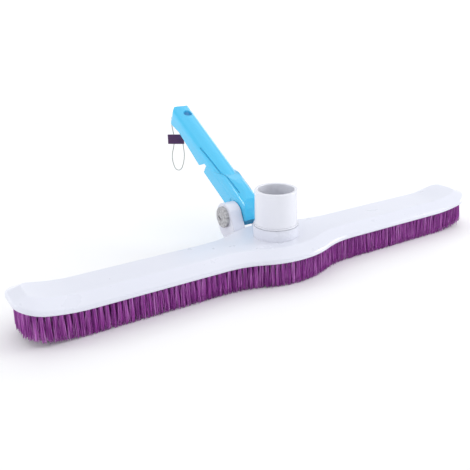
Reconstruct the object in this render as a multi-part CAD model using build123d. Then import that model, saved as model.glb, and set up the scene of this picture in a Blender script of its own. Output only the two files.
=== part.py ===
from build123d import *
import math
import os
from itertools import product

# Pool wall brush with a suction port, a hinged pole handle and a hang cord.
# Millimetres. +Z is up, the brush stands on its bristle tips at Z = 0, and X runs along the brush.
# The origin is on the floor under the middle of the whole brush; the handle leans to +Y.
# Everything is laid out from the port axis and moved by HUB_Y when it is saved.

# --- driving dimensions -------------------------------------------------------------------------
HUB_Y = -71.57             # the port axis and the brush body's centre line

HALF_LENGTH = 230.5        # body, end to end, halved
HALF_WIDTH = 27.0          # arms of the body, front edge to back edge, halved
BULGE = 15.0               # how much further the hub reaches to the front and to the back
BULGE_HALF = 66.0          # half the length of that bulge
END_CORNER = 19.0          # plan radius of the four end corners
RIM_Z = 22.8               # underside of the body, so also the free length of the bristles
BODY_HEIGHT = 9.6          # underside to the flat top
FLANK_IN = 11.4            # the sloping flank is this wide in plan
RIM_EDGE = 3.0             # upright edge all round the underside
CREASE_R = 3.0             # rounding between flank and flat top

LIFT_START = 178.0         # beyond this X each end curves upwards
LIFT_RADIUS = 165.0        # radius of that curve, measured on the underside

TUFT_PITCH = 4.8
TUFT_ROWS = (5.0, 11.0)    # distance of each row of tufts from the rim
TUFT_R = 1.45
TUFT_TIP_R = 1.95
TUFT_DEPTH = 3.4           # length held inside the body
TUFT_PLAY = 0.1
ANCHOR = (2.2, 0.4, 0.4)   # square wire staple behind each tuft
ANCHOR_ROOM = 0.1

CHANNEL_INSET = 16.4       # suction channel in the underside, measured in from the rim
CHANNEL_HALF = 170.0
CHANNEL_H = 7.0
PLATE_PLAY = 0.25
PLATE_H = 2.0
SLOT_SIZE = (36.0, 9.0)
SLOT_X = (77.0, 135.0)
PLATE_SCREW_X = (48.0, 106.0, 161.0)
BOSS_R = 3.8
SCREW_R = 1.5
SCREW_HEAD_R = 2.8
SCREW_HEAD_H = 1.2
SCREW_LENGTH = 7.0

TUBE_R = 19.0              # hose port for 38 mm hose
TUBE_BORE_R = 16.0
TUBE_TOP = 74.7
COLLAR_R = 20.5
COLLAR_TOP = 42.4
PORT_PLAY = 0.08           # running clearance of the turning port tube
SHOULDER_R = 19.9
SHOULDER_H = 1.3
SHOULDER_GAP = 0.35
FLANGE_R = 21.6
FLANGE_H = 1.8
FLANGE_PLAY = 0.3

PIVOT_Y = 52.0             # behind the port axis
PIVOT_Z = 37.8
EAR_IN = 11.3              # inner faces of the two ears
EAR_OUT = 23.3             # outer faces of the two ears
EAR_R = 13.0
EAR_FOOT_Z = 17.6
SADDLE_R = 18.2            # room for the handle's knuckle between the ears
BOLT_R = 4.0
BOLT_PLAY = 0.08
DISC_R = 10.0
DISC_H = 2.8
NUT_THREAD_R = 2.5
NUT_BARREL = 11.0

HANDLE_TILT = 27.4         # degrees above the horizontal
HANDLE_HALF = 11.0
HANDLE_WALL = 2.5
ARCH_N = 6.9               # centre of the handle's round top, above the pivot line
EDGE_N = -3.5              # lower edge of its walls
HANDLE_END = 151.0
TIP_CORNER = 7.5           # plan radius of the tip's corners
NOSE_R = 7.5               # rounding of the tip seen from the side
TIP_WALL = 4.5
HOLE_ALONG = 133.6
HOLE_R = 4.4
BOSS_END = 13.6            # the channel's walls stop here, clear of the ears
KNUCKLE_HALF = 10.6
KNUCKLE_N = 11.3           # centre of the knuckle's round top
GROOVE_W = 0.9             # narrow groove along each shoulder

CORD_R = 0.45
CORD_PLAY = 0.1            # room round the cord in the tab
CORD_HOLE_R = 0.95
CORD_HOLE_X = -6.0
CORD_HOLE_N = 1.0          # height of the cord's hole above the pivot line
KNOT_R = 1.7
TAB_SIZE = (17.6, 1.6, 10.4)
TAB_CENTRE = (-5.4, 183.1, 83.9)
TAB_TURN = -35.0
TAB_CORNER = 0.8

# route of the hang cord, from the knot inside the tip to where it ends in the tab
CORD_ROUTE = [
    (-6.0, 175.4, 102.9),
    (-6.0, 187.55, 109.2),
    (-6.3, 190.6, 103.9),
    (-6.6, 188.6, 96.0),
    (-6.9, 184.15, 88.0),
    (-7.2, 184.35, 77.5),
    (-9.9, 186.3, 66.0),
    (-9.0, 185.6, 56.0),
    (-6.7, 184.0, 49.5),
    (-2.4, 181.0, 49.5),
    (0.0, 179.3, 56.0),
    (1.6, 178.2, 66.0),
    (0.7, 178.8, 76.5),
    (0.5, 179.0, 84.0),
]


# --- small helpers ------------------------------------------------------------------------------
def save(part, name):
    os.makedirs("parts", exist_ok=True)
    export_step(Pos(0, HUB_Y, 0) * part, f"parts/{name}.step")


def save_group(solids, name):
    save(Compound(children=list(solids)), name)


def cylinder_z(radius, low, high, x=0.0, y=0.0):
    return Pos(x, y, (low + high) / 2) * Cylinder(radius, high - low)


def cylinder_x(radius, low, high, y=0.0, z=0.0):
    return Pos((low + high) / 2, y, z) * Rot(0, 90, 0) * Cylinder(radius, high - low)


def ring_z(outer, inner, low, high):
    return cylinder_z(outer, low, high) - cylinder_z(inner, low - 1, high + 1)


def prism_x(points, low, high):
    # points are (y, z); the prism runs along X
    face = make_face(Polyline([(0, y, z) for y, z in points], close=True))
    return extrude(face, high - low, dir=(1, 0, 0)).moved(Location((low, 0, 0)))


# --- shape of the body --------------------------------------------------------------------------
def outline_edges(inset):
    # the quarter outline towards -X and +Y, moved inwards by inset
    half = HALF_WIDTH - inset
    end = HALF_LENGTH - inset
    corner = END_CORNER - inset
    sweep = (BULGE_HALF ** 2 + BULGE ** 2) / (4 * BULGE)
    convex = sweep - inset
    concave = sweep + inset
    meet_x = BULGE_HALF * convex / (convex + concave)
    meet_y = half + BULGE - convex + math.sqrt(convex ** 2 - meet_x ** 2)
    edges = []
    if corner > 0.5:
        edges.append(Line((-end, 0), (-end, half - corner)))
        edges.append(RadiusArc((-end, half - corner), (-end + corner, half), corner))
        edges.append(Line((-end + corner, half), (-BULGE_HALF, half)))
    else:
        edges.append(Line((-end, 0), (-end, half)))
        edges.append(Line((-end, half), (-BULGE_HALF, half)))
    edges.append(RadiusArc((-BULGE_HALF, half), (-meet_x, meet_y), -concave))
    edges.append(RadiusArc((-meet_x, meet_y), (0, half + BULGE), convex))
    return edges


def outline(inset):
    edges = []
    for edge in outline_edges(inset):
        flipped = edge.mirror(Plane.XZ)
        edges += [edge, flipped, edge.mirror(Plane.YZ), flipped.mirror(Plane.YZ)]
    return Wire.combine(edges)[0]


def plan_block(inset, low, high):
    return extrude(make_face(outline(inset)), high - low).moved(Location((0, 0, low)))


def bend_point(height, angle, side):
    # a point of the curved end: height above the underside, angle along the curve
    radius = LIFT_RADIUS - height
    x = LIFT_START + radius * math.sin(angle)
    return side * x, RIM_Z + LIFT_RADIUS - radius * math.cos(angle)


def bent_slab(low, high):
    # everything between two heights above the underside, following the curved ends
    reach = math.radians(22)
    lines = [Line((-LIFT_START, RIM_Z + z), (LIFT_START, RIM_Z + z)) for z in (low, high)]
    for side in (1, -1):
        for z in (low, high):
            start = (side * LIFT_START, RIM_Z + z)
            lines.append(RadiusArc(start, bend_point(z, reach, side), -side * (LIFT_RADIUS - z)))
        lines.append(Line(bend_point(low, reach, side), bend_point(high, reach, side)))
    profile = make_face(Wire.combine(lines)[0])
    upright = Plane.XZ * profile
    return extrude(upright, 100, both=True)


def body_envelope():
    slab = (plan_block(0, RIM_Z - 5, RIM_Z + 40) & bent_slab(0, BODY_HEIGHT)).solid()
    top = max(slab.faces().filter_by(Axis.Z), key=lambda face: face.center().Z + face.area)
    side = [edge for edge in top.edges() if abs(edge.center().Y) > HALF_WIDTH - 5]
    slab = slab.chamfer(FLANK_IN, BODY_HEIGHT - RIM_EDGE, side[:1], face=top)
    tops = [face for face in slab.faces() if face.normal_at().Z > 0.93]
    borders = [edge for face in tops for edge in face.edges()]
    crease = [edge for edge in borders if sum(edge in face.edges() for face in tops) == 1]
    return slab.fillet(CREASE_R, crease)


def on_underside(x, y):
    # a place on the underside, which curves up at the ends
    run = abs(x) - LIFT_START
    if run <= 0:
        return Pos(x, y, RIM_Z)
    x, z = bend_point(0, run / LIFT_RADIUS, math.copysign(1, x))
    return Pos(x, y, z)


def tuft_places(inset):
    # evenly spaced along a quarter of the outline, then mirrored to the other three
    quarter = Wire.combine(outline_edges(inset))[0]
    count = round(quarter.length / TUFT_PITCH)
    places = []
    for index in range(count):
        point = quarter.position_at((index + 0.5) / count)
        for x, y in product((point.X, -point.X), (point.Y, -point.Y)):
            places.append(on_underside(x, y))
    return places


# --- the white body -----------------------------------------------------------------------------
def channel_outline(inset):
    face = make_face(outline(inset))
    keep = Rectangle(2 * (CHANNEL_HALF - inset + CHANNEL_INSET), 200)
    face = (face & keep).face()
    corners = [v for v in face.vertices() if abs(v.X) > CHANNEL_HALF - 10]
    return fillet(corners, 6)


def ears():
    y, z = PIVOT_Y, PIVOT_Z
    lean = math.radians(143)
    front = (y + EAR_R * math.cos(lean), z + EAR_R * math.sin(lean))
    foot_run = (front[1] - RIM_Z - 6) / math.tan(lean - math.pi / 2)
    profile = Wire.combine([
        ThreePointArc(front, (y, z + EAR_R), (y + EAR_R, z)),
        Spline([(y + EAR_R, z), (y + 9.4, z - 13.2), (y + 1.0, EAR_FOOT_Z)],
               tangents=[(0, -1), (-1, -0.12)]),
        Line((y + 1.0, EAR_FOOT_Z), (44.5, EAR_FOOT_Z)),
        Line((44.5, EAR_FOOT_Z), (42.3, RIM_Z + 0.6)),
        Line((42.3, RIM_Z + 0.6), (30.0, RIM_Z + 3.0)),
        Line((30.0, RIM_Z + 3.0), (front[0] - foot_run * 0.62, RIM_Z + 6)),
        Line((front[0] - foot_run * 0.62, RIM_Z + 6), front),
    ])[0]
    face = Plane.YZ * make_face(profile)
    ear = extrude(face, EAR_OUT - EAR_IN, dir=(1, 0, 0)).moved(Location((EAR_IN, 0, 0)))
    return [ear, ear.mirror(Plane.YZ)]


def body():
    shape = body_envelope()
    shape += cylinder_z(COLLAR_R, RIM_Z + 4, COLLAR_TOP)
    for ear in ears():
        shape += ear
    shape += Pos(0, 48.6, EAR_FOOT_Z + 2) * Box(2 * EAR_IN + 1, 11.0, 4.0)
    shape -= cylinder_x(SADDLE_R, -EAR_IN, EAR_IN, PIVOT_Y, PIVOT_Z)
    shape -= cylinder_x(BOLT_R + BOLT_PLAY, -EAR_OUT - 1, EAR_OUT + 1, PIVOT_Y, PIVOT_Z)
    shape -= extrude(channel_outline(CHANNEL_INSET), CHANNEL_H + 1).moved(
        Location((0, 0, RIM_Z - 1)))
    shape -= cylinder_z(TUBE_R + PORT_PLAY, RIM_Z, COLLAR_TOP + 1)
    for x in PLATE_SCREW_X:
        for side in (1, -1):
            shape += cylinder_z(BOSS_R, RIM_Z + PLATE_H, RIM_Z + CHANNEL_H + 0.5, side * x)
            shape -= cylinder_z(SCREW_R + 0.02, RIM_Z, RIM_Z + SCREW_LENGTH + 0.6, side * x)
    hole = cylinder_z(TUFT_R + TUFT_PLAY, -1, TUFT_DEPTH + ANCHOR[2] + 2 * ANCHOR_ROOM)
    for inset in TUFT_ROWS:
        for place in tuft_places(inset):
            shape -= place * hole
    return shape


# --- bristles -----------------------------------------------------------------------------------
def tuft():
    profile = Polyline((0, 0, TUFT_DEPTH), (TUFT_R, 0, TUFT_DEPTH), (TUFT_R, 0, 0),
                       (TUFT_TIP_R, 0, -RIM_Z), (0, 0, -RIM_Z), close=True)
    return revolve(make_face(profile), Axis.Z)


def anchor():
    length, width, height = ANCHOR
    return Pos(0, 0, TUFT_DEPTH + ANCHOR_ROOM + height / 2) * Box(length, width, height)


def side_of(place):
    point = place.position
    if abs(point.X) > HALF_LENGTH - END_CORNER:
        return "right_end" if point.X > 0 else "left_end"
    return "rear" if point.Y > 0 else "front"


def bristles():
    one_tuft = tuft()
    one_anchor = anchor()
    for inset, ring in zip(TUFT_ROWS, ("outer", "inner")):
        tufts = {}
        anchors = []
        for place in tuft_places(inset):
            tufts.setdefault(side_of(place), []).append(place * one_tuft)
            anchors.append(place * one_anchor)
        for side, solids in tufts.items():
            save_group(solids, f"{ring}_bristles_{side}")
        save_group(anchors, f"{ring}_tuft_anchors")


# --- underside and port -------------------------------------------------------------------------
def underside_plate():
    plate = extrude(channel_outline(CHANNEL_INSET + PLATE_PLAY), PLATE_H)
    for side in (1, -1):
        for x in SLOT_X:
            plate -= Pos(side * x, 0) * extrude(SlotOverall(*SLOT_SIZE), PLATE_H + 1)
        for x in PLATE_SCREW_X:
            plate -= cylinder_z(SCREW_R + 0.2, -1, PLATE_H + 1, side * x)
            plate -= cylinder_z(SCREW_HEAD_R + 0.2, -1, SCREW_HEAD_H, side * x)
    top = CHANNEL_H - FLANGE_H - 2 * FLANGE_PLAY
    plate += ring_z(FLANGE_R, TUBE_BORE_R + 0.6, PLATE_H - 0.5, top)
    plate -= cylinder_z(TUBE_BORE_R + 0.6, -1, PLATE_H + 1)
    return Pos(0, 0, RIM_Z) * plate


def plate_screws():
    screws = []
    for x in PLATE_SCREW_X:
        for side in (1, -1):
            shank = cylinder_z(SCREW_R, SCREW_HEAD_H - 0.1, SCREW_LENGTH)
            head = cylinder_z(SCREW_HEAD_R, 0.1, SCREW_HEAD_H)
            cross = Pos(0, 0, 0.3) * (Box(3.0, 0.7, 0.8) + Box(0.7, 3.0, 0.8))
            screws.append(Pos(side * x, 0, RIM_Z) * (head + shank - cross))
    return screws


def port_tube():
    flange_top = RIM_Z + CHANNEL_H - FLANGE_PLAY
    shoulder = COLLAR_TOP + SHOULDER_GAP
    tube = cylinder_z(TUBE_R, flange_top - FLANGE_H, TUBE_TOP)
    tube += cylinder_z(FLANGE_R, flange_top - FLANGE_H, flange_top)
    tube += cylinder_z(SHOULDER_R, shoulder, shoulder + SHOULDER_H)
    tube -= cylinder_z(TUBE_BORE_R, 0, TUBE_TOP + 1)
    mouth = [e for e in tube.edges().filter_by(GeomType.CIRCLE) if e.center().Z > TUBE_TOP - 0.1]
    return fillet(mouth, 0.9)


# --- pivot --------------------------------------------------------------------------------------
def pivot_disc(low, high):
    disc = cylinder_x(DISC_R, low, high, PIVOT_Y, PIVOT_Z)
    outer = low if low < 0 else high
    rim = [e for e in disc.edges().filter_by(GeomType.CIRCLE) if abs(e.center().X - outer) < 0.01]
    return fillet(rim, 0.5)


def pivot_bolt():
    bolt = pivot_disc(-EAR_OUT - DISC_H, -EAR_OUT)
    bolt += cylinder_x(BOLT_R, -EAR_OUT - 0.5, EAR_OUT - NUT_BARREL, PIVOT_Y, PIVOT_Z)
    bolt += cylinder_x(NUT_THREAD_R, 0, EAR_OUT - 1, PIVOT_Y, PIVOT_Z)
    slot = Pos(-EAR_OUT - DISC_H, PIVOT_Y + 3.6, PIVOT_Z - 1.4) * Rot(22, 0, 0) * Box(2.4, 6.0, 1.5)
    return bolt - slot


def pivot_nut():
    nut = pivot_disc(EAR_OUT, EAR_OUT + DISC_H)
    nut += cylinder_x(BOLT_R, EAR_OUT - NUT_BARREL + 0.2, EAR_OUT + 0.5, PIVOT_Y, PIVOT_Z)
    nut -= cylinder_x(NUT_THREAD_R + 0.05, 0, EAR_OUT - 0.5, PIVOT_Y, PIVOT_Z)
    slot = Pos(EAR_OUT + DISC_H, PIVOT_Y + 3.6, PIVOT_Z - 1.4) * Rot(22, 0, 0) * Box(2.4, 6.0, 1.5)
    return nut - slot


# --- handle -------------------------------------------------------------------------------------
# Built lying along +Y with the pivot at the origin and +Z square to it, then tilted about X.
def arch(half, centre, low, start, end):
    # a bar with upright sides and a round top
    face = make_face(Wire.combine([
        Line((-half, low), (half, low)),
        Line((half, low), (half, centre)),
        ThreePointArc((half, centre), (0, centre + half), (-half, centre)),
        Line((-half, centre), (-half, low)),
    ])[0])
    upright = Plane.XZ * face
    return extrude(upright, end - start, dir=(0, 1, 0)).moved(Location((0, start, 0)))


def side_solid(points):
    # a profile in (along, normal), as wide as the handle
    return prism_x(points, -HANDLE_HALF, HANDLE_HALF)


def tip_plan(half, end, corner):
    # the blunt rounded end as seen from above
    return extrude(Pos(0, end / 2) * RectangleRounded(2 * half, end, corner), 60, both=True)


def nose_cut(crown):
    # what lies outside the tip's round nose
    along = HANDLE_END - NOSE_R
    normal = crown - NOSE_R
    width = 2 * HANDLE_HALF + 4
    corner = Pos(0, along + NOSE_R, normal + NOSE_R) * Box(width, 2 * NOSE_R, 2 * NOSE_R)
    return corner - cylinder_x(NOSE_R, -width, width, along, normal)


def handle_bar():
    bar = arch(HANDLE_HALF, ARCH_N, -8, BOSS_END, HANDLE_END)
    crown = ARCH_N + HANDLE_HALF
    side = side_solid([
        (BOSS_END, EDGE_N), (76, EDGE_N), (126, 0), (134, -1.4), (143, -3.0), (148, -1.0),
        (HANDLE_END, 3.5), (HANDLE_END, crown + 1), (BOSS_END, crown + 1),
    ])
    bar = bar & side & tip_plan(HANDLE_HALF, HANDLE_END, TIP_CORNER) - nose_cut(crown)
    inner = HANDLE_HALF - HANDLE_WALL
    hollow = arch(inner, ARCH_N, -20, BOSS_END + 6, HANDLE_END) & tip_plan(inner, HANDLE_END - TIP_WALL, TIP_CORNER - 2.5)
    return bar - hollow


def side_grooves():
    # one along each shoulder, from the middle of the bar down over the knuckle
    depth = side_solid([
        (84, 12.0), (42.4, 13.75), (40, 15.05), (33.5, 17.9), (8, 18.75), (8, 30), (84, 30),
    ])
    strip = make_face(Polyline(
        (9.5, 84), (9.5 - GROOVE_W, 84), (7.1 - GROOVE_W, 8), (7.1, 8), close=True))
    groove = extrude(strip, 40) & depth
    return [groove, groove.mirror(Plane.YZ)]


def knuckle():
    raised = arch(KNUCKLE_HALF, KNUCKLE_N, -12, -20, 54)
    hump = side_solid([
        (52, 9), (40, 15.5), (33, 18.6), (24, 21.0), (14, 22.2), (8, 22.0), (-2, 20.2), (-9.2, 15.0),
        (-14.4, 9.8), (-16.2, 6.8), (-11.8, 1.0), (-10.6, -6.0), (-4.6, -10.6), (5, -10.4),
        (13, -7.0), (20, EDGE_N), (52, EDGE_N),
    ])
    block = (raised & hump).solid()
    hollow = arch(KNUCKLE_HALF - HANDLE_WALL - 0.2, KNUCKLE_N - 2.4, -20, 14, 60)
    return block - hollow


def handle():
    shape = handle_bar() + knuckle()
    shape -= arch(HANDLE_HALF - HANDLE_WALL, ARCH_N, -20, BOSS_END + 8, 70)
    for groove in side_grooves():
        shape -= groove
    shape -= cylinder_z(HOLE_R, ARCH_N, 40, 0, HOLE_ALONG)
    notch = side_solid([(76.4, EDGE_N - 3), (76.4, EDGE_N), (68.0, 5.4), (64.6, 5.4), (66.2, EDGE_N - 3)])
    shape -= notch & (Pos(-HANDLE_HALF, 70, 0) * Box(8, 40, 40))
    shape -= cylinder_x(BOLT_R + BOLT_PLAY, -20, 20)
    shape -= Pos(CORD_HOLE_X, HANDLE_END, CORD_HOLE_N) * Rot(90, 0, 0) * Cylinder(CORD_HOLE_R, 16)
    return Pos(0, PIVOT_Y, PIVOT_Z) * Rot(HANDLE_TILT, 0, 0) * shape


# --- hang cord and tab --------------------------------------------------------------------------
def corner_radii(points):
    # 0.45 of the shorter neighbouring run over the tangent of half the turn
    radii = []
    for before, here, after in zip(points, points[1:], points[2:]):
        first = Vector(*here) - Vector(*before)
        second = Vector(*after) - Vector(*here)
        half_turn = math.radians(first.get_angle(second)) / 2
        radii.append(0.45 * min(first.length, second.length) / math.tan(half_turn))
    return radii


def cord_path():
    return FilletPolyline(*CORD_ROUTE, radius=corner_radii(CORD_ROUTE))


def cord_tube(radius):
    path = cord_path()
    return sweep(Plane(origin=path @ 0, z_dir=path % 0) * Circle(radius), path=path)


def hang_cord():
    length = cord_path().length
    tube = cord_tube(CORD_R)
    print("cord corner radii:", [round(radius, 1) for radius in corner_radii(CORD_ROUTE)])
    print("cord length:", round(length, 1))
    print("cord volume over section x length:", tube.volume / (length * math.pi * CORD_R ** 2))
    return tube + Pos(*CORD_ROUTE[0]) * Sphere(KNOT_R)


def hang_tab():
    tab = fillet(Box(*TAB_SIZE).edges().filter_by(Axis.Y), TAB_CORNER)
    return Pos(*TAB_CENTRE) * Rot(0, 0, TAB_TURN) * tab - cord_tube(CORD_R + CORD_PLAY)


def main():
    save(body(), "brush_body")
    bristles()
    save(underside_plate(), "underside_plate")
    save_group(plate_screws(), "underside_plate_screws")
    save(port_tube(), "hose_port_tube")
    save(pivot_bolt(), "pivot_bolt")
    save(pivot_nut(), "pivot_nut")
    save(handle(), "pole_handle")
    save(hang_cord(), "hang_cord")
    save(hang_tab(), "hang_tab")


main()
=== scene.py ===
import math
import random

import bmesh
import bpy
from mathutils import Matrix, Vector


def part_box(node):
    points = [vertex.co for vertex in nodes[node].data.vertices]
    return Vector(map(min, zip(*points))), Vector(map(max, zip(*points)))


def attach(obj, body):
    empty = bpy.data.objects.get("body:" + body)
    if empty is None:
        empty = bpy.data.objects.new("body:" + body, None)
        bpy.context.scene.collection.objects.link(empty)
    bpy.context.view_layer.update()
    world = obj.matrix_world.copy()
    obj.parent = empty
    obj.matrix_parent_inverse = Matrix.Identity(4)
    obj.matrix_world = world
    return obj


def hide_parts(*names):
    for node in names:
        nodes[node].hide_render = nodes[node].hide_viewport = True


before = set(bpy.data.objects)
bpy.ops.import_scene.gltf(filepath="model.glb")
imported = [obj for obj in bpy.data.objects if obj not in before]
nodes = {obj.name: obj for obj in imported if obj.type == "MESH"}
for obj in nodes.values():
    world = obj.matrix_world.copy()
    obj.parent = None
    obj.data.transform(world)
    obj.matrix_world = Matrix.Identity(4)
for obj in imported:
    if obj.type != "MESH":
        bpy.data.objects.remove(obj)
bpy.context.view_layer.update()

# A pool wall brush: white moulded body, purple bristle tufts, a turning hose port and a hinged
# blue handle with a hang cord. Everything is in metres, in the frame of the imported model.

scene = bpy.context.scene

# --- places, read from the frame -----------------------------------------------------------------
port_low, port_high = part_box("hose_port_tube")
HUB_Y = (port_low[1] + port_high[1]) / 2


def from_hub(point):
    """A point in millimetres, measured from the port axis, as metres in the frame."""
    x, y, z = point
    return Vector((x / 1000, y / 1000 + HUB_Y, z / 1000))


# --- bristles ------------------------------------------------------------------------------------
FILAMENTS = 34             # in each tuft
FILAMENT_R = 0.00018
FILAMENT_SIDES = 5
FILAMENT_STEPS = 5         # points along a filament
ROOT_SPREAD = 0.0012       # radius of a tuft where it leaves the body
TIP_SPREAD = 0.0021        # and at its tips
TIP_JITTER = 0.0004
SPIRAL_TURN = math.pi * (3 - math.sqrt(5))      # golden angle from one filament to the next
TURN_JITTER = 0.3          # radians, about that even spiral
BOW = 0.00022              # how far a filament bows sideways
SHORTEST_CUT = 0.0022      # how much shorter than the rest a filament can be
STRAY_SHARE = 0.12         # filaments that lean across to a neighbouring tuft
STRAY_REACH = 0.003
LEAST_STRAY = 0.4          # the shortest such lean, as a share of STRAY_REACH
SAME_POINT = 0.000001      # corners of the CAD mesh this close are one corner
FACE_DEPTH = 0.0002        # corners this close to a tuft's highest or lowest belong to its end face
TUBE_REFERENCE = Vector((0.31, 0.95, 0.05))     # a direction that no thin tube runs along

# --- hang cord -----------------------------------------------------------------------------------
CORD_DIAMETER = 0.0009
CORD_ROUTE_MM = [
    (-6.0, 175.4, 102.9),
    (-6.0, 187.55, 109.2),
    (-6.3, 190.6, 103.9),
    (-6.6, 188.6, 96.0),
    (-6.9, 184.15, 88.0),
    (-7.2, 184.35, 77.5),
    (-9.9, 186.3, 66.0),
    (-9.0, 185.6, 56.0),
    (-6.7, 184.0, 49.5),
    (-2.4, 181.0, 49.5),
    (0.0, 179.3, 56.0),
    (1.6, 178.2, 66.0),
    (0.7, 178.8, 76.5),
    (0.5, 179.0, 84.0),
]

# The knot's path is a circle of KNOT_REACH, run twice, that swings in and out three times.
KNOT_STEPS = 60
KNOT_REACH = 0.00062
KNOT_SWING = 0.00026
KNOT_HALF_DEPTH = 0.00045

# --- woven label on the cord ---------------------------------------------------------------------
TAB_TURN = math.radians(-35)
TAB_HALF_WIDTH = 0.0087
TAB_HALF_THICK = 0.00078
TAB_HALF_HEIGHT = 0.0051
TAB_COLUMNS = 28           # points along each face of one outline
TAB_ROWS = 18
TAB_ROUNDNESS = 0.35       # 1 would make the outline an ellipse, 0 a rectangle
TAB_HEM = 0.16             # how much thinner the top and bottom edges are
TAB_CROWN = 0.10           # how much the thickness swells and dips across the faces
TAB_WAVE = 0.000036        # how far the folded ends wave

# --- camera place: it looks at a point over the hub, from the front left and above ---------------
CAMERA_SENSOR_MM = 36
CAMERA_LENS_MM = 50.1
CAMERA_SHIFT_X = -0.0874   # shares of the picture's width
CAMERA_SHIFT_Y = -0.0193
CAMERA_NEAR = 0.01
CAMERA_TARGET_Z = 0.040
CAMERA_TURN = math.radians(-34.44)
CAMERA_RISE = math.radians(20.80)
CAMERA_DISTANCE = 0.58314

# --- studio sizes and light ----------------------------------------------------------------------
FLOOR_R = 0.7              # the floor round the brush, which doesn't shine
SWEEP_R = 8                # from there on a shining floor, up to a low round wall
SWEEP_TOP = 2.4
SWEEP_GLOW = 0.35
SWEEP_SIDES = 64
WORLD_COLOUR = (0.97, 0.98, 1.0, 1)
WORLD_STRENGTH = 0.72
LIGHT_TARGET = Vector((0, 0, 0.03))


# --- camera --------------------------------------------------------------------------------------
def make_camera():
    data = bpy.data.cameras.new("camera")
    data.sensor_width = CAMERA_SENSOR_MM
    data.lens = CAMERA_LENS_MM
    data.shift_x = CAMERA_SHIFT_X
    data.shift_y = CAMERA_SHIFT_Y
    data.clip_start = CAMERA_NEAR
    camera = bpy.data.objects.new("camera", data)
    scene.collection.objects.link(camera)
    level = math.cos(CAMERA_RISE)
    away = Vector((math.sin(CAMERA_TURN) * level, -math.cos(CAMERA_TURN) * level, math.sin(CAMERA_RISE)))
    camera.location = Vector((0, HUB_Y, CAMERA_TARGET_Z)) + CAMERA_DISTANCE * away
    camera.rotation_euler = (-away).to_track_quat("-Z", "Y").to_euler()
    scene.camera = camera


# --- material helpers ----------------------------------------------------------------------------
class Nodes:
    """A material's node tree, with short ways to add and join nodes."""

    def __init__(self, name):
        self.material = bpy.data.materials.new(name)
        self.material.use_nodes = True
        self.tree = self.material.node_tree
        self.shader = self.tree.nodes["Principled BSDF"]
        self.place = self.add("ShaderNodeTexCoord").outputs["Object"]

    def add(self, kind, **values):
        node = self.tree.nodes.new(kind)
        for key, value in values.items():
            setattr(node, key, value)
        return node

    def link(self, source, target):
        self.tree.links.new(source, target)

    def stretched(self, scale, turn=(0, 0, 0)):
        mapping = self.add("ShaderNodeMapping")
        mapping.inputs["Scale"].default_value = scale
        mapping.inputs["Rotation"].default_value = turn
        self.link(self.place, mapping.inputs["Vector"])
        return mapping.outputs["Vector"]

    def noise(self, place, scale, detail, roughness=0.5):
        node = self.add("ShaderNodeTexNoise")
        node.inputs["Scale"].default_value = scale
        node.inputs["Detail"].default_value = detail
        node.inputs["Roughness"].default_value = roughness
        self.link(place, node.inputs["Vector"])
        return node.outputs["Fac"]

    def ramp(self, value, stops):
        node = self.add("ShaderNodeValToRGB")
        elements = node.color_ramp.elements
        while len(elements) < len(stops):
            elements.new(0.5)
        for element, (position, colour) in zip(elements, stops):
            element.position = position
            element.color = (*colour, 1)
        self.link(value, node.inputs["Fac"])
        return node.outputs["Color"]

    def spread(self, value, low, high):
        node = self.add("ShaderNodeMapRange")
        node.inputs["To Min"].default_value = low
        node.inputs["To Max"].default_value = high
        self.link(value, node.inputs["Value"])
        return node.outputs["Result"]

    def calculate(self, operation, *values):
        """One maths node; each value is a number or another node's output."""
        node = self.add("ShaderNodeMath", operation=operation)
        for socket, value in zip(node.inputs, values):
            if isinstance(value, (int, float)):
                socket.default_value = value
            else:
                self.link(value, socket)
        return node.outputs[0]

    def bump(self, height, strength, distance, normal=None):
        node = self.add("ShaderNodeBump")
        node.inputs["Strength"].default_value = strength
        node.inputs["Distance"].default_value = distance
        self.link(height, node.inputs["Height"])
        if normal is not None:
            self.link(normal, node.inputs["Normal"])
        return node.outputs["Normal"]

    def soft_edges(self, radius):
        node = self.add("ShaderNodeBevel", samples=6)
        node.inputs["Radius"].default_value = radius
        return node.outputs["Normal"]

    def finish(self, colour, roughness=None, normal=None, **values):
        """Join the shader; values are the sockets that keep one number, with _ for a space."""
        self.link(colour, self.shader.inputs["Base Color"])
        if roughness is not None:
            self.link(roughness, self.shader.inputs["Roughness"])
        if normal is not None:
            self.link(normal, self.shader.inputs["Normal"])
        for key, value in values.items():
            self.shader.inputs[key.replace("_", " ")].default_value = value
        return self.material


# --- materials -----------------------------------------------------------------------------------
def moulded(name, light, dark, roughness, edge, coat):
    """Injection-moulded gloss plastic: faint flow clouding, a fine mould texture, soft edges."""
    mat = Nodes(name)
    clouds = mat.noise(mat.place, 22, 3)
    grain = mat.noise(mat.place, 1500, 2)
    colour = mat.ramp(clouds, [(0.15, dark), (0.85, light)])
    shine = mat.spread(mat.noise(mat.place, 60, 4), roughness - 0.02, roughness + 0.02)
    normal = mat.bump(grain, 0.03, 0.0001, mat.soft_edges(edge))
    return mat.finish(colour, shine, normal, Specular_IOR_Level=0.5, Coat_Weight=coat,
                      Coat_Roughness=0.08)


def mottled_grey():
    """Satin grey moulding with a cast, blotchy face."""
    mat = Nodes("grey_bolt_plastic")
    blotches = mat.noise(mat.place, 420, 5, 0.6)
    colour = mat.ramp(blotches, [(0.36, (0.25, 0.25, 0.26)), (0.5, (0.42, 0.42, 0.43)),
                                 (0.66, (0.58, 0.58, 0.59))])
    normal = mat.bump(blotches, 0.35, 0.0004, mat.soft_edges(0.0004))
    return mat.finish(colour, mat.spread(blotches, 0.34, 0.52), normal)


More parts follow.
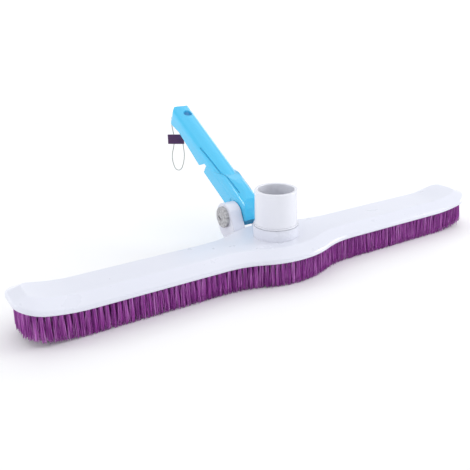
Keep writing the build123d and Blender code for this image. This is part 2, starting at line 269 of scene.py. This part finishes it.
def steel(name, roughness):
    """Drawn steel, its fine lines running along X."""
    mat = Nodes(name)
    brushed = mat.noise(mat.stretched((60, 900, 900)), 4, 3)
    colour = mat.ramp(brushed, [(0.3, (0.5, 0.5, 0.51)), (0.7, (0.7, 0.7, 0.71))])
    normal = mat.bump(brushed, 0.1, 0.0001)
    return mat.finish(colour, mat.spread(brushed, roughness - 0.06, roughness + 0.08), normal, Metallic=1.0)


def nylon():
    """Drawn nylon; its purple changes from filament to filament, along them and between tufts."""
    mat = Nodes("purple_bristle_nylon")
    strands = mat.noise(mat.stretched((900, 900, 28)), 1, 2)
    tufts = mat.noise(mat.stretched((150, 150, 4)), 1, 2)
    mixed = mat.calculate("MULTIPLY_ADD", strands, 0.75, mat.calculate("MULTIPLY", tufts, 0.25))
    colour = mat.ramp(mixed, [(0.34, (0.17, 0.012, 0.20)), (0.5, (0.40, 0.05, 0.42)),
                              (0.64, (0.68, 0.26, 0.70))])
    return mat.finish(colour, mat.spread(strands, 0.22, 0.38), Specular_IOR_Level=0.6)


def twisted_fibre():
    """Grey-green cord of fine twisted strands."""
    mat = Nodes("cord_fibre")
    twist = mat.add("ShaderNodeTexWave", wave_type="BANDS", bands_direction="DIAGONAL")
    twist.inputs["Scale"].default_value = 900
    twist.inputs["Distortion"].default_value = 1.5
    mat.link(mat.place, twist.inputs["Vector"])
    colour = mat.ramp(twist.outputs["Fac"], [(0.2, (0.22, 0.25, 0.22)), (0.8, (0.46, 0.5, 0.46))])
    normal = mat.bump(twist.outputs["Fac"], 0.5, 0.0001)
    return mat.finish(colour, normal=normal, Roughness=0.7, Sheen_Weight=0.2)


def webbing():
    """Woven label, its threads running along the label's own width and height."""
    mat = Nodes("purple_webbing")
    turned = mat.stretched((1, 1, 1), (0, 0, -TAB_TURN))
    across = mat.add("ShaderNodeTexWave", wave_type="BANDS", bands_direction="X")
    along = mat.add("ShaderNodeTexWave", wave_type="BANDS", bands_direction="Z")
    for wave in (across, along):
        wave.inputs["Scale"].default_value = 330
        mat.link(turned, wave.inputs["Vector"])
    weave = mat.calculate("MULTIPLY", across.outputs["Fac"], along.outputs["Fac"])
    fuzz = mat.noise(mat.place, 1400, 3)
    colour = mat.ramp(weave, [(0.05, (0.045, 0.012, 0.06)), (0.6, (0.13, 0.045, 0.16))])
    normal = mat.bump(weave, 0.6, 0.0003, mat.bump(fuzz, 0.3, 0.0001))
    return mat.finish(colour, normal=normal, Roughness=0.85, Sheen_Weight=0.3)


def backdrop(name, glow):
    """Pale studio paper; with some glow it stays white where the softboxes don't reach it."""
    mat = Nodes(name)
    colour = mat.ramp(mat.noise(mat.place, 3, 2), [(0.2, (0.93, 0.93, 0.935)), (0.8, (0.95, 0.95, 0.955))])
    return mat.finish(colour, Roughness=0.6, Specular_IOR_Level=0.2, Emission_Strength=glow)


# --- meshes --------------------------------------------------------------------------------------
def new_piece(name, verts, faces, material, smooth=True):
    mesh = bpy.data.meshes.new(name)
    mesh.from_pydata(verts, [], faces)
    mesh.update()
    if smooth:
        mesh.polygons.foreach_set("use_smooth", [True] * len(mesh.polygons))
    mesh.materials.append(material)
    piece = bpy.data.objects.new(name, mesh)
    scene.collection.objects.link(piece)
    return piece


def band(start, count):
    """Faces between a ring of points and the ring that follows it."""
    faces = []
    for step in range(count):
        a = start + step
        b = start + (step + 1) % count
        faces.append((a, b, b + count, a + count))
    return faces


def closed_tube(start, count, rings):
    """Faces of a tube of rings of points, with both its ends."""
    faces = []
    for ring in range(rings - 1):
        faces.extend(band(start + ring * count, count))
    last = start + (rings - 1) * count
    faces.append(tuple(reversed(range(start, start + count))))
    faces.append(tuple(range(last, last + count)))
    return faces


def loose_parts(node):
    """The corner points of each separate solid of a CAD node, in the same order in every run."""
    work = bmesh.new()
    work.from_mesh(nodes[node].data)
    bmesh.ops.remove_doubles(work, verts=work.verts, dist=SAME_POINT)
    done = set()
    parts = []
    for start in work.verts:
        if start in done:
            continue
        done.add(start)
        reached = [start]
        part = []
        while reached:
            vert = reached.pop()
            part.append(vert.co.copy())
            for edge in vert.link_edges:
                other = edge.other_vert(vert)
                if other not in done:
                    done.add(other)
                    reached.append(other)
        parts.append(part)
    work.free()
    return sorted(parts, key=lambda part: (round(part[0].x, 4), round(part[0].y, 4)))


def middle(points):
    return sum(points, Vector()) / len(points)


def tuft_axis(part):
    """The middle of a tuft's top and bottom faces."""
    low = min(p.z for p in part)
    high = max(p.z for p in part)
    top = middle([p for p in part if p.z > high - FACE_DEPTH])
    bottom = middle([p for p in part if p.z < low + FACE_DEPTH])
    return top, bottom


def add_tube(verts, faces, line, radius):
    """A thin closed tube along a short line of points."""
    first = len(verts)
    along = (line[-1] - line[0]).normalized()
    side = along.cross(TUBE_REFERENCE).normalized()
    front = along.cross(side)
    for point in line:
        for step in range(FILAMENT_SIDES):
            angle = 2 * math.pi * step / FILAMENT_SIDES
            verts.append(point + radius * (math.cos(angle) * side + math.sin(angle) * front))
    faces.extend(closed_tube(first, FILAMENT_SIDES, len(line)))


def filament_line(top, bottom, index, dice):
    """One filament of a tuft, from inside its hole to its tip."""
    down = (bottom - top).normalized()
    side = down.cross(Vector((0, 1, 0))).normalized()
    front = down.cross(side)
    ring = math.sqrt((index + 0.5) / FILAMENTS)
    angle = index * SPIRAL_TURN + dice.uniform(-TURN_JITTER, TURN_JITTER)
    way = math.cos(angle) * side + math.sin(angle) * front
    root = top + way * ring * ROOT_SPREAD
    tip = bottom + way * ring * TIP_SPREAD
    tip += side * dice.gauss(0, TIP_JITTER) + front * dice.gauss(0, TIP_JITTER)
    if dice.random() < STRAY_SHARE:
        tip += side * dice.choice((-1, 1)) * dice.uniform(LEAST_STRAY, 1.0) * STRAY_REACH
    tip -= down * dice.random() ** 2 * SHORTEST_CUT
    tip.z = max(tip.z, FILAMENT_R)
    bow = (side * dice.gauss(0, 1) + front * dice.gauss(0, 1)) * BOW
    line = []
    for step in range(FILAMENT_STEPS):
        share = step / (FILAMENT_STEPS - 1)
        line.append(root.lerp(tip, share) + bow * math.sin(math.pi * share) * share)
    return line


def bristle_piece(node, material, seed):
    """Separate filaments in place of one CAD node's tufts."""
    dice = random.Random(seed)
    verts = []
    faces = []
    for part in loose_parts(node):
        top, bottom = tuft_axis(part)
        for index in range(FILAMENTS):
            add_tube(verts, faces, filament_line(top, bottom, index, dice), FILAMENT_R)
    piece = new_piece(node.replace("bristles", "filaments"), verts, faces, material)
    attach(piece, "brush")
    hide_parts(node)


# --- cord and tab --------------------------------------------------------------------------------
def make_cord(material):
    data = bpy.data.curves.new("hang_cord_line", "CURVE")
    data.dimensions = "3D"
    data.bevel_depth = CORD_DIAMETER / 2
    data.bevel_resolution = 4
    data.resolution_u = 10
    data.use_fill_caps = True
    spline = data.splines.new("NURBS")
    spline.points.add(len(CORD_ROUTE_MM) - 1)
    for point, place in zip(spline.points, CORD_ROUTE_MM):
        point.co = (*from_hub(place), 1)
    spline.order_u = 3
    spline.use_endpoint_u = True
    data.materials.append(material)
    cord = bpy.data.objects.new("hang_cord_line", data)
    scene.collection.objects.link(cord)
    return cord


def make_knot(material):
    """A small overhand knot at the cord's inner end."""
    centre = from_hub(CORD_ROUTE_MM[0])
    line = []
    for step in range(KNOT_STEPS + 1):
        turn = 2 * math.pi * step / KNOT_STEPS
        reach = KNOT_REACH + KNOT_SWING * math.cos(3 * turn)
        line.append(centre + Vector((reach * math.cos(2 * turn), KNOT_HALF_DEPTH * math.sin(3 * turn),
                                     reach * math.sin(2 * turn))))
    verts = []
    faces = []
    for start, end in zip(line, line[1:]):
        add_tube(verts, faces, [start, end], CORD_DIAMETER / 2)
    return new_piece("cord_knot", verts, faces, material)


def squared(value):
    """A sine or cosine bent so that its circle comes out nearly square."""
    return math.copysign(abs(value) ** TAB_ROUNDNESS, value)


def tab_outline(v):
    """The label's outline at one height, with v from -1 at its foot to 1 at its top."""
    outline = []
    for column in range(2 * TAB_COLUMNS):
        angle = math.pi * (column + 0.5) / TAB_COLUMNS
        u = squared(math.cos(angle))
        w = squared(math.sin(angle))
        hem = 1 - TAB_HEM * abs(v) ** 6
        crown = 1 - TAB_CROWN * math.cos(6 * u) * (1 - v * v)
        wave = TAB_WAVE * math.sin(5 * v + 3 * u) * (1 - abs(w))
        outline.append((TAB_HALF_WIDTH * u, TAB_HALF_THICK * hem * crown * w + wave, TAB_HALF_HEIGHT * v))
    return outline


def make_tab(material):
    """The label on the cord, thinner at its hems and slightly uneven across its faces."""
    low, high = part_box("hang_tab")
    centre = (Vector(low) + Vector(high)) / 2
    along = Vector((math.cos(TAB_TURN), math.sin(TAB_TURN), 0))
    out = Vector((-math.sin(TAB_TURN), math.cos(TAB_TURN), 0))
    up = Vector((0, 0, 1))
    verts = []
    for row in range(TAB_ROWS + 1):
        for x, y, z in tab_outline(2 * row / TAB_ROWS - 1):
            verts.append(centre + along * x + out * y + up * z)
    faces = closed_tube(0, 2 * TAB_COLUMNS, TAB_ROWS + 1)
    return new_piece("hang_tab_label", verts, faces, material)


def hang_cord(fibre, web):
    cord = make_cord(fibre)
    knot = make_knot(fibre)
    tab = make_tab(web)
    for piece in (cord, knot, tab):
        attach(piece, "handle")
    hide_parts("hang_cord")
    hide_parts("hang_tab")


# --- CAD nodes that keep their shape -------------------------------------------------------------
def paint(names, material):
    for name in names:
        data = nodes[name].data
        data.materials.clear()
        data.materials.append(material)


def paint_cad_nodes():
    white = moulded("white_gloss_plastic", light=(0.735, 0.75, 0.83), dark=(0.72, 0.735, 0.82),
                    roughness=0.28, edge=0.0008, coat=0.2)
    port = moulded("white_port_plastic", light=(0.765, 0.775, 0.835), dark=(0.75, 0.76, 0.825),
                   roughness=0.2, edge=0.0004, coat=0.4)
    blue = moulded("blue_gloss_plastic", light=(0.055, 0.54, 0.86), dark=(0.045, 0.51, 0.83),
                   roughness=0.2, edge=0.0009, coat=0.5)
    paint(["brush_body", "underside_plate"], white)
    paint(["hose_port_tube"], port)
    paint(["pole_handle"], blue)
    paint(["pivot_bolt", "pivot_nut"], mottled_grey())
    paint(["underside_plate_screws"], steel("stainless_screws", 0.28))
    paint(["outer_tuft_anchors", "inner_tuft_anchors"], steel("staple_wire", 0.4))


# --- studio --------------------------------------------------------------------------------------
def area_light(name, place, size, power):
    data = bpy.data.lights.new(name, "AREA")
    data.shape = "SQUARE"
    data.size = size
    data.energy = power
    light = bpy.data.objects.new(name, data)
    light.location = place
    light.rotation_euler = (LIGHT_TARGET - Vector(place)).to_track_quat("-Z", "Y").to_euler()
    scene.collection.objects.link(light)


def circle(radius, height=0):
    """Corners of a level circle."""
    turns = [2 * math.pi * side / SWEEP_SIDES for side in range(SWEEP_SIDES)]
    return [(radius * math.cos(turn), radius * math.sin(turn), height) for turn in turns]


def make_sweep():
    """A round floor, a shining floor beyond it and a low wall that hides the horizon."""
    rim = circle(FLOOR_R)
    floor = new_piece("floor", rim, [tuple(range(SWEEP_SIDES))], backdrop("pale_floor", 0))
    rings = rim + circle(SWEEP_R) + circle(SWEEP_R, SWEEP_TOP)
    faces = band(0, SWEEP_SIDES) + band(SWEEP_SIDES, SWEEP_SIDES)
    sweep = new_piece("far_sweep", rings, faces, backdrop("pale_sweep", SWEEP_GLOW), smooth=False)


def make_studio():
    make_sweep()
    world = bpy.data.worlds.new("studio")
    world.use_nodes = True
    background = world.node_tree.nodes["Background"]
    background.inputs["Color"].default_value = WORLD_COLOUR
    background.inputs["Strength"].default_value = WORLD_STRENGTH
    scene.world = world
    scene.view_settings.view_transform = "Standard"
    area_light("softbox_above", (0, 0.4, 2.2), size=4, power=26)
    area_light("softbox_right", (1.1, -0.45, 0.5), size=0.5, power=4.5)
    area_light("softbox_left", (-1.2, 0.5, 0.65), size=0.25, power=1.7)


def main():
    make_camera()
    hang_cord(twisted_fibre(), webbing())
    purple = nylon()
    bristle_nodes = sorted(name for name in nodes if "bristles" in name)
    for seed, node in enumerate(bristle_nodes):
        bristle_piece(node, purple, seed)
    paint_cad_nodes()
    make_studio()


main()
